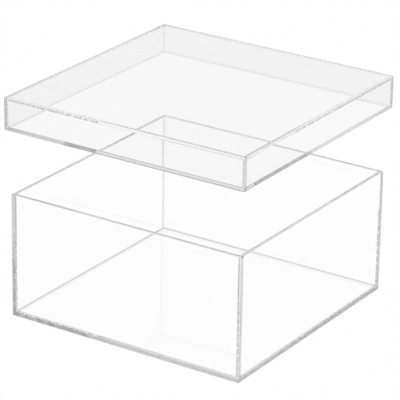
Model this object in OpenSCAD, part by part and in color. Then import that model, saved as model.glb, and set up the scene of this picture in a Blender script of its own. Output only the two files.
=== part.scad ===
// Square clear acrylic storage box with a shallow lid that drops over its rim.
// Ten flat sheet panels, solvent bonded edge to face: a base and four walls make the box,
// a top panel and four skirt panels make the lid. The lid is drawn raised above the open box.
// The origin is the centre of the box's underside, with +Z up and the front wall towards -Y.

/* [Box] */
// Outer width and depth of the square box
box_side = 150; // [100:1:250]
// Height of the box without its lid
box_height = 73; // [40:1:200]
// Thickness of the box's sheet
box_sheet = 2.5; // [2:0.5:5]

/* [Lid] */
// Overall height of the lid
lid_height = 19; // [12:1:35]
// Thickness of the lid's sheet
lid_sheet = 2; // [2:0.5:4]
// Gap between a box wall and the skirt panel that slides past it
lid_clearance = 0.4; // [0.2:0.1:1]
// Height of the lid's lower rim above the box's rim, as shown
lid_raise = 38; // [5:1:80]

/* [Edges] */
// Width of the polished 45 degree arris on every bare edge
arris = 0.3; // [0.1:0.05:0.3]
// How deep the lead-in bevel cuts into the skirt's lower inner edge
lead_in_depth = 1.2; // [0.3:0.1:1.2]
// How far the lead-in bevel reaches up the skirt's inner face
lead_in_height = 2; // [0.5:0.5:4]

/* [Hidden] */

// The lid's inner width clears the box all round
lid_inner = box_side + 2 * lid_clearance;
lid_side = lid_inner + 2 * lid_sheet;
// Height of the lid's lower rim above the surface that the box stands on
lid_bottom = box_height + lid_raise;
// How far the lid comes down until its top panel rests on the box's rim
lid_drop = lid_raise + lid_height - lid_sheet;
// Cutters reach this far past the faces that they cut
over = 1;
// Quarter turns from the front to each side
front = 0;
right = 1;
back = 2;
left = 3;

acrylic = [0.90, 0.93, 0.94, 0.35];

echo(lid_side = lid_side, lid_bottom = lid_bottom, lid_drop = lid_drop);

// Outline of a rectangle standing on the X axis, with its four corners cut at 45 degrees
module arrised_outline(width, tall) {
    half = width / 2;
    polygon([
        [-half + arris, 0], [half - arris, 0], [half, arris], [half, tall - arris],
        [half - arris, tall], [-half + arris, tall], [-half, tall - arris], [-half, arris]
    ]);
}

// Square block on the XY plane whose twelve edges all carry the arris
module arrised_block(side, tall) {
    intersection() {
        translate([0, -side / 2, 0]) linear_extrude(tall) arrised_outline(side, side);
        rotate([90, 0, 0]) linear_extrude(side + over, center = true) arrised_outline(side, tall);
        rotate([90, 0, 90]) linear_extrude(side + over, center = true) arrised_outline(side, tall);
    }
}

// Square pyramid stump that stands on the XY plane and widens upwards by the spread on each side
module widening_stump(side, tall, spread) {
    half = side / 2;
    slope = [[-half, 0], [half, 0], [half + spread, tall], [-half - spread, tall]];
    intersection() {
        rotate([90, 0, 0]) linear_extrude(side + 2 * spread, center = true) polygon(slope);
        rotate([90, 0, 90]) linear_extrude(side + 2 * spread, center = true) polygon(slope);
    }
}

// What a bevel round the upper inner edge of a square frame removes. The stump is drawn twice
// as tall as the bevel, so that it reaches past the rim.
module inner_bevel(inner, rim, depth, height) {
    translate([0, 0, rim - height]) widening_stump(inner, 2 * height, 2 * depth);
}

// The room that one side panel takes in a ring of four. Each panel starts against its left
// neighbour and covers the end of its right neighbour, so all four are alike.
module side_room(outer, thick, low, high) {
    translate([-outer / 2 + thick, -outer / 2 - over, low])
        cube([outer, thick + over, high - low]);
}

// One wall of the box, standing on the edge of the base panel
module wall(quarter) {
    color(acrylic) rotate(90 * quarter) difference() {
        intersection() {
            arrised_block(box_side, box_height);
            side_room(box_side, box_sheet, box_sheet, box_height + over);
        }
        inner_bevel(box_side - 2 * box_sheet, box_height, arris, arris);
    }
}

// One side of the lid. The bevel along its lower inner edge finds the box's rim.
module skirt(quarter) {
    color(acrylic) translate([0, 0, lid_bottom]) rotate(90 * quarter) difference() {
        intersection() {
            arrised_block(lid_side, lid_height);
            side_room(lid_side, lid_sheet, -over, lid_height + over);
        }
        mirror([0, 0, 1]) inner_bevel(lid_inner, 0, lead_in_depth, lead_in_height);
    }
}

// The base panel runs under all four walls, flush with their outer faces
module base_panel() {
    color(acrylic) intersection() {
        arrised_block(box_side, box_height);
        translate([-box_side, -box_side, -over]) cube([2 * box_side, 2 * box_side, box_sheet + over]);
    }
}

module front_wall() { wall(front); }
module right_wall() { wall(right); }
module back_wall() { wall(back); }
module left_wall() { wall(left); }

// The lid's top panel lies between the skirt panels, flush with their upper edges
module lid_top_panel() {
    color(acrylic) translate([-lid_inner / 2, -lid_inner / 2, lid_bottom + lid_height - lid_sheet])
        cube([lid_inner, lid_inner, lid_sheet]);
}

module lid_front_skirt() { skirt(front); }
module lid_right_skirt() { skirt(right); }
module lid_back_skirt() { skirt(back); }
module lid_left_skirt() { skirt(left); }

base_panel();
front_wall();
right_wall();
back_wall();
left_wall();
lid_top_panel();
lid_front_skirt();
lid_right_skirt();
lid_back_skirt();
lid_left_skirt();
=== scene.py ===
import math

import bpy
from mathutils import Matrix, Vector


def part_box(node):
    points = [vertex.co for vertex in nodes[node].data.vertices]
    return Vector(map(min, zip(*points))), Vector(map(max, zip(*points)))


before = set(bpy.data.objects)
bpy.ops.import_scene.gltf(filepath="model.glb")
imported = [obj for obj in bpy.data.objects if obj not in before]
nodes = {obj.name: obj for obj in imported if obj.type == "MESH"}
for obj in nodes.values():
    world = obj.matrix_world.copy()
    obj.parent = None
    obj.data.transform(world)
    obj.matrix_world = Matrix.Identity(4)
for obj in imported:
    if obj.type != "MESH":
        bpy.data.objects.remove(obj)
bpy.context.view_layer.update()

# Driving places, read from the frame. All lengths are in metres.
BASE_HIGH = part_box("base_panel")[1]
WALL_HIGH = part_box("front_wall")[1]
TOP_LOW, TOP_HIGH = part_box("lid_top_panel")
SKIRT_LOW, SKIRT_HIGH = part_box("lid_front_skirt")

BOX_HALF = BASE_HIGH.x
BOX_SHEET = BASE_HIGH.z
BOX_INNER = BOX_HALF - BOX_SHEET
RIM = WALL_HIGH.z
LID_HALF = SKIRT_HIGH.x
LID_INNER = TOP_HIGH.x
LID_LOW = SKIRT_LOW.z

# How much a surface faces along the sheet's thickness, from 0 to 1. Above the first value it is a
# face of the sheet, below the second a cut edge, and between them an arris or the ground bevel.
FACE_FACING = 0.93
EDGE_FACING = 0.3
# A surface that faces up or down by more than this counts as level
LEVEL_FACING = 0.5
# How near to a plane a place has to be to count as on it
HAIR = 0.00005

IOR = 1.49
# How much light the sheet takes out for each metre of the light's way in it. The lid's grey is
# all in the shades of its faces.
BOX_ABSORPTION = 0.4
LID_ABSORPTION = 0.0
# How rough the cut edges, the arrises and the ground bevel are, from 0 to 1
EDGE_ROUGH = 0.35

# Noises: how fine each is, how many finer layers it has, and the levels in it that become 0 and 1
CLOUDS = (25, 3, 0.3, 0.7)
PATCHES = (240, 2, 0.38, 0.62)
GRAINS = (700, 2, 0.35, 0.65)

# Shades of the surfaces, from 0 for black to 1 for quite clear
BOX_FACE = 0.993
LID_SIDE = 0.935
LID_TOP = 0.92
ARRIS_SHADE = 0.85
BASE_EDGE = 0.65
WALL_END = 0.75
WALL_RIM_X = 0.86
WALL_RIM_Y = 0.82
LID_END = 0.65
LID_NEAR_RIM = 1.0
# The far skirts' rims are painted darker than the near ones, as painted shade
LID_FAR_RIM = 0.65
# How much a face darkens in its clouds
CLOUD = 0.004

# The bead of cement along the base's inner joint
BEAD_WIDTH = 0.0005
BEAD_SHADE = 0.6

# The box's edges are darker in patches round its lower front left corner. The darker patches reach
# this high there, and come down along the front by this slope.
CORNER_DARK_HEIGHT = 0.03505
CORNER_DARK_SLOPE = 0.65
# How much the patches darken the edges, at the least and at the most
CORNER_DARK_LEAST = 0.18
CORNER_DARK_MOST = 0.6

# How far the skirt's ground lead-in bevel reaches up from its lower rim
BEVEL_HEIGHT = 0.0021
# The bevel's shades on the right, front and far skirts, and how much its grain darkens it. They
# differ by side as painted light and shade: darkest on the front skirt, lightest on the far ones.
BEVEL_X = 0.6
BEVEL_Y = 0.45
BEVEL_FAR = 0.8
BEVEL_GRAIN = 0.1
# Near the front corner the bevel has painted shade: a dark stretch, and nearer still two painted
# dark lines. These are the largest values of Y - X there, for skirts with their thickness along X
# and along Y, and how far these ends wander.
PAINTED_DARK_X = -0.085
PAINTED_DARK_Y = -0.036
PAINTED_LINES_X = -0.14
PAINTED_LINES_Y = -0.056
WANDER = 0.006
# Painted shade of the dark stretch, between its patches and in them
PAINTED_DARK_SHADE = 0.25
PAINTED_PATCH_SHADE = 0.125
# Painted shade of the lined stretch, and how sharply it turns dark towards its two painted lines
PAINTED_MIDDLE_SHADE = 0.7
PAINTED_LINE_SHADE = 0.05
PAINTED_LINE_CURVE = 1.5

# The floor is a square, just under the object. Most of its light is its own, so that it stays
# as white as the photograph's.
FLOOR_HALF = 3.0
FLOOR_DROP = 0.0002
FLOOR_SHADE = 0.9
FLOOR_OWN = 0.96
STUDIO_STRENGTH = 0.9
LAMP_AT = Vector((0.2, -0.3, 1.6))
LAMP_AIM = Vector((0, 0, 0.06))
LAMP_SIDE = 1.6
LAMP_WATTS = 5

# Camera: the angle, lens and place that fit the photograph's edges
IMAGE_SIZE = 400
FOCAL_PX = 2600
YAW = math.radians(32.94)
PITCH = math.radians(22.32)
ROLL = math.radians(1.0)
CAMERA_AT = Vector((0.7310, -1.1280, 0.6143))
SENSOR = 36.0
CLIP_END = 20

# Light goes to and fro in the sheets many times before it comes out at an edge
BOUNCES = 64
DIFFUSE_BOUNCES = 16


def fill(node, inputs):
    """Gives each input of a node its value, or joins it to a field or a socket."""
    for key, value in inputs.items():
        if isinstance(value, Field):
            value = value.socket
        if isinstance(value, bpy.types.NodeSocket):
            node.id_data.links.new(value, node.inputs[key])
        else:
            node.inputs[key].default_value = value


def add_node(tree, kind, inputs):
    """A new node with its inputs filled."""
    node = tree.nodes.new(kind)
    fill(node, inputs)
    return node


def mix_shaders(tree, share, first, second):
    """The first shader where the share is 0, the second where it is 1."""
    shaders = {0: share, 1: first.outputs[0], 2: second.outputs[0]}
    return add_node(tree, "ShaderNodeMixShader", shaders).outputs[0]


class Field:
    """A number that a node tree works out at each point. It adds up as a plain number does."""

    def __init__(self, socket):
        self.socket = socket

    def join(self, operation, *others):
        node = self.socket.id_data.nodes.new("ShaderNodeMath")
        node.operation = operation
        fill(node, dict(enumerate((self, *others))))
        return Field(node.outputs[0])

    def __add__(self, other):
        return self.join("ADD", other)

    def __sub__(self, other):
        return self.join("SUBTRACT", other)

    def __mul__(self, other):
        return self.join("MULTIPLY", other)

    def size(self):
        return self.join("ABSOLUTE")

    def power(self, exponent):
        return self.join("POWER", exponent)

    def above(self, level):
        return self.join("GREATER_THAN", level)

    def below(self, level):
        return self.join("LESS_THAN", level)

    def between(self, low, high):
        return self.above(low) * self.below(high)

    def near(self, level, reach):
        return self.join("COMPARE", level, reach)

    def highest(self, other):
        return self.join("MAXIMUM", other)

    def lowest(self, other):
        return self.join("MINIMUM", other)

    def opposite(self):
        """0 where this is 1, 1 where it is 0."""
        return self * -1 + 1

    def blend(self, off, on):
        """off where this is 0, on where it is 1."""
        return self * on + self.opposite() * off


def parts_of(vector):
    """The X, Y and Z of a vector's socket."""
    parts = add_node(vector.id_data, "ShaderNodeSeparateXYZ", {0: vector})
    return [Field(part) for part in parts.outputs]


def new_material(name):
    material = bpy.data.materials.new(name)
    material.use_nodes = True
    material.node_tree.nodes.clear()
    return material


class Sheet:
    """The material of panels whose thickness runs along one axis: 0 is X, 1 is Y, 2 is Z."""

    def __init__(self, name, axis):
        self.material = new_material(f"{name}_{'xyz'[axis]}")
        self.tree = self.material.node_tree
        where = self.tree.nodes.new("ShaderNodeTexCoord")
        self.place = where.outputs["Object"]
        self.x, self.y, self.z = parts_of(self.place)
        # Distances from the object's middle along X and Y, the larger and the smaller
        self.farther = self.x.size().highest(self.y.size())
        self.nearer = self.x.size().lowest(self.y.size())
        # 1 on all the narrow faces, on the slanting ones, and on those that face up or down
        facing = [part.size() for part in parts_of(where.outputs["Normal"])]
        self.narrow = facing[axis].below(FACE_FACING)
        self.slanting = facing[axis].between(EDGE_FACING, FACE_FACING)
        self.level = facing[2].above(LEVEL_FACING)

    def noise(self, scale, detail, low, high):
        """Noise that is 0 up to low and 1 from high."""
        sizes = {"Vector": self.place, "Scale": scale, "Detail": detail}
        waves = add_node(self.tree, "ShaderNodeTexNoise", sizes)
        levels = {"Value": waves.outputs["Fac"], "From Min": low, "From Max": high}
        return Field(add_node(self.tree, "ShaderNodeMapRange", levels).outputs["Result"])

    def shade(self, face, edge):
        """The shade of a faintly cloudy sheet, with another shade on its narrow faces."""
        return self.narrow.blend(self.noise(*CLOUDS) * -CLOUD + face, edge)

    def finish(self, shade, matt, bonded, absorption):
        """The finished material. Bonded faces vanish, as they do in the real joint."""
        clear = add_node(self.tree, "ShaderNodeBsdfPrincipled", {
            "Base Color": shade,
            "Roughness": self.narrow * EDGE_ROUGH,
            "Transmission Weight": matt.opposite(),
            "IOR": IOR,
        })
        gone = self.tree.nodes.new("ShaderNodeBsdfTransparent")
        grey = {"Color": (0, 0, 0, 1), "Density": absorption}
        add_node(self.tree, "ShaderNodeOutputMaterial", {
            "Surface": mix_shaders(self.tree, bonded, clear, gone),
            "Volume": add_node(self.tree, "ShaderNodeVolumeAbsorption", grey).outputs[0],
        })
        return self.material


def box_bonds(sheet):
    """1 where two panels of the box are bonded face to face, 0 elsewhere."""
    inside = sheet.farther.between(BOX_INNER + HAIR, BOX_HALF - HAIR)
    height = sheet.z.between(BOX_SHEET - HAIR, RIM - HAIR)
    corner = sheet.nearer.near(BOX_INNER, HAIR) * height
    return inside * corner.highest(sheet.z.near(BOX_SHEET, HAIR))


def lid_bonds(sheet):
    """1 where two panels of the lid are bonded face to face, 0 elsewhere."""
    inside = sheet.farther.between(LID_INNER + HAIR, LID_HALF - HAIR)
    height = sheet.z.between(LID_LOW + HAIR, TOP_HIGH.z - HAIR)
    corner = inside * sheet.nearer.near(LID_INNER, HAIR) * height
    thickness = sheet.z.between(TOP_LOW.z + HAIR, TOP_HIGH.z - HAIR)
    return corner.highest(sheet.farther.near(LID_INNER, HAIR) * thickness)


def base_bead(sheet):
    """1 on the bead of cement along the inner edges of the base, 0 elsewhere."""
    on_base = sheet.z.near(BOX_SHEET, HAIR) * sheet.farther.above(BOX_INNER - BEAD_WIDTH)
    on_wall = sheet.farther.near(BOX_INNER, HAIR) * sheet.z.below(BOX_SHEET + BEAD_WIDTH)
    return on_base.highest(on_wall)


def box_acrylic(axis, rim, end):
    """The box's sheet, with edges that are darker in patches round one corner."""
    sheet = Sheet("box_acrylic", axis)
    edge = sheet.slanting.blend(sheet.level.blend(end, rim), ARRIS_SHADE)
    low = ((sheet.x + BOX_HALF) * CORNER_DARK_SLOPE + sheet.z).below(CORNER_DARK_HEIGHT)
    corner_dark = low * sheet.y.below(-BOX_INNER) * sheet.noise(*PATCHES).blend(CORNER_DARK_LEAST, CORNER_DARK_MOST)
    shade = sheet.shade(BOX_FACE, edge * corner_dark.opposite())
    shade = base_bead(sheet).blend(shade, BEAD_SHADE)
    return sheet.finish(shade, sheet.slanting, box_bonds(sheet), BOX_ABSORPTION)


def skirt_acrylic(axis, bevel, painted_dark_to, painted_lines_to):
    """The skirts' sheet, with the ground bevel along its lower rim, painted shade on the bevel near
    the front corner, and its bevel and rims painted in different shades on each side.
    """
    sheet = Sheet("lid_acrylic", axis)
    # The far skirts, whose bevel is painted lighter and whose rims are painted darker than the near
    # skirts'
    far = (sheet.x * -1).highest(sheet.y).above(LID_INNER)
    flat = sheet.level.blend(LID_END, far.blend(LID_NEAR_RIM, LID_FAR_RIM))
    edge = sheet.slanting.blend(flat, ARRIS_SHADE)
    patch = sheet.noise(*PATCHES)
    even = (sheet.noise(*GRAINS) * -BEVEL_GRAIN + 1) * far.blend(bevel, BEVEL_FAR)
    # Painted shade near the front corner: a dark stretch in patches, and nearer still two painted
    # dark lines
    painted_dark = patch.blend(PAINTED_DARK_SHADE, PAINTED_PATCH_SHADE)
    off_middle = ((sheet.z - (LID_LOW + BEVEL_HEIGHT / 2)) * (2 / BEVEL_HEIGHT)).size()
    painted_lines = off_middle.power(PAINTED_LINE_CURVE).blend(PAINTED_MIDDLE_SHADE, PAINTED_LINE_SHADE)
    along = sheet.y - sheet.x + patch * WANDER
    painted_corner_shade = along.below(painted_lines_to).blend(painted_dark, painted_lines)
    ground = sheet.narrow * sheet.z.below(LID_LOW + BEVEL_HEIGHT)
    bevel_and_painted_shade = along.below(painted_dark_to).blend(even, painted_corner_shade)
    shade = ground.blend(sheet.shade(LID_SIDE, edge), bevel_and_painted_shade)
    matt = sheet.slanting * ground.opposite()
    return sheet.finish(shade, matt, lid_bonds(sheet), LID_ABSORPTION)


def top_acrylic():
    """The top panel's sheet. All its narrow faces are bonded."""
    sheet = Sheet("lid_acrylic", 2)
    shade = sheet.shade(LID_TOP, LID_NEAR_RIM)
    return sheet.finish(shade, sheet.slanting, lid_bonds(sheet), LID_ABSORPTION)


def dress(material, *panels):
    """Gives the panels the material in place of their own."""
    for panel in panels:
        slots = nodes[panel].data.materials
        slots.clear()
        slots.append(material)


def dress_object():
    """Gives the panels whose thickness runs along one axis a material of their own."""
    dress(box_acrylic(0, WALL_RIM_X, WALL_END), "left_wall", "right_wall")
    dress(box_acrylic(1, WALL_RIM_Y, WALL_END), "front_wall", "back_wall")
    dress(box_acrylic(2, BASE_EDGE, BASE_EDGE), "base_panel")
    dress(skirt_acrylic(0, BEVEL_X, PAINTED_DARK_X, PAINTED_LINES_X), "lid_left_skirt", "lid_right_skirt")
    dress(skirt_acrylic(1, BEVEL_Y, PAINTED_DARK_Y, PAINTED_LINES_Y), "lid_front_skirt", "lid_back_skirt")
    dress(top_acrylic(), "lid_top_panel")


def seen(tree):
    """1 for the rays that look at the background: from the camera, and through or off the object."""
    path = tree.nodes.new("ShaderNodeLightPath")
    kinds = ("Is Camera Ray", "Is Glossy Ray", "Is Transmission Ray")
    camera, glossy, through = (Field(path.outputs[kind]) for kind in kinds)
    return camera.highest(glossy).highest(through)


def make_floor():
    """A pale square that is all but white by its own light wherever it is seen."""
    mesh = bpy.data.meshes.new("floor")
    turns = ((-1, -1), (1, -1), (1, 1), (-1, 1))
    corners = [(FLOOR_HALF * x, FLOOR_HALF * y, -FLOOR_DROP) for x, y in turns]
    mesh.from_pydata(corners, [], [(0, 1, 2, 3)])
    floor = bpy.data.objects.new("floor", mesh)
    bpy.context.scene.collection.objects.link(floor)
    material = new_material("floor")
    tree = material.node_tree
    pale = (FLOOR_SHADE, FLOOR_SHADE, FLOOR_SHADE, 1)
    plain = add_node(tree, "ShaderNodeBsdfDiffuse", {"Color": pale})
    white = add_node(tree, "ShaderNodeEmission", {"Strength": 1})
    mix = mix_shaders(tree, seen(tree) * FLOOR_OWN, plain, white)
    add_node(tree, "ShaderNodeOutputMaterial", {"Surface": mix})
    mesh.materials.append(material)


def make_world():
    """A white studio all round, a little weaker as a light than where it is seen."""
    world = bpy.data.worlds.new("studio")
    bpy.context.scene.world = world
    world.use_nodes = True
    tree = world.node_tree
    tree.nodes.clear()
    color = (1, 1, 1, 1)
    light = add_node(tree, "ShaderNodeBackground", {"Color": color, "Strength": STUDIO_STRENGTH})
    white = add_node(tree, "ShaderNodeBackground", {"Color": color, "Strength": 1})
    mix = mix_shaders(tree, seen(tree), light, white)
    add_node(tree, "ShaderNodeOutputWorld", {"Surface": mix})


def make_lamp():
    data = bpy.data.lights.new("overhead", "AREA")
    data.shape = "SQUARE"
    data.size = LAMP_SIDE
    data.energy = LAMP_WATTS
    lamp = bpy.data.objects.new("overhead", data)
    lamp.location = LAMP_AT
    lamp.rotation_euler = (LAMP_AIM - LAMP_AT).to_track_quat("-Z", "Y").to_euler()
    bpy.context.scene.collection.objects.link(lamp)


def make_camera():
    data = bpy.data.cameras.new("camera")
    data.sensor_width = SENSOR
    data.lens = FOCAL_PX * SENSOR / IMAGE_SIZE
    data.clip_end = CLIP_END
    camera = bpy.data.objects.new("camera", data)
    flat = math.cos(PITCH)
    forward = Vector((-math.sin(YAW) * flat, math.cos(YAW) * flat, -math.sin(PITCH)))
    level = Vector((math.cos(YAW), math.sin(YAW), 0))
    upright = level.cross(forward)
    right = math.cos(ROLL) * level + math.sin(ROLL) * upright
    up = -math.sin(ROLL) * level + math.cos(ROLL) * upright
    turn = Matrix((right, up, -forward)).transposed()
    camera.matrix_world = Matrix.Translation(CAMERA_AT) @ turn.to_4x4()
    bpy.context.scene.collection.objects.link(camera)
    bpy.context.scene.camera = camera


dress_object()
make_floor()
make_world()
make_lamp()
make_camera()

scene = bpy.context.scene
scene.view_settings.view_transform = "Standard"
scene.cycles.max_bounces = BOUNCES
scene.cycles.diffuse_bounces = DIFFUSE_BOUNCES
scene.cycles.glossy_bounces = BOUNCES
scene.cycles.transmission_bounces = BOUNCES
scene.cycles.transparent_max_bounces = BOUNCES
# Blurred glossy light would make the edges darker than they are
scene.cycles.blur_glossy = 0.0
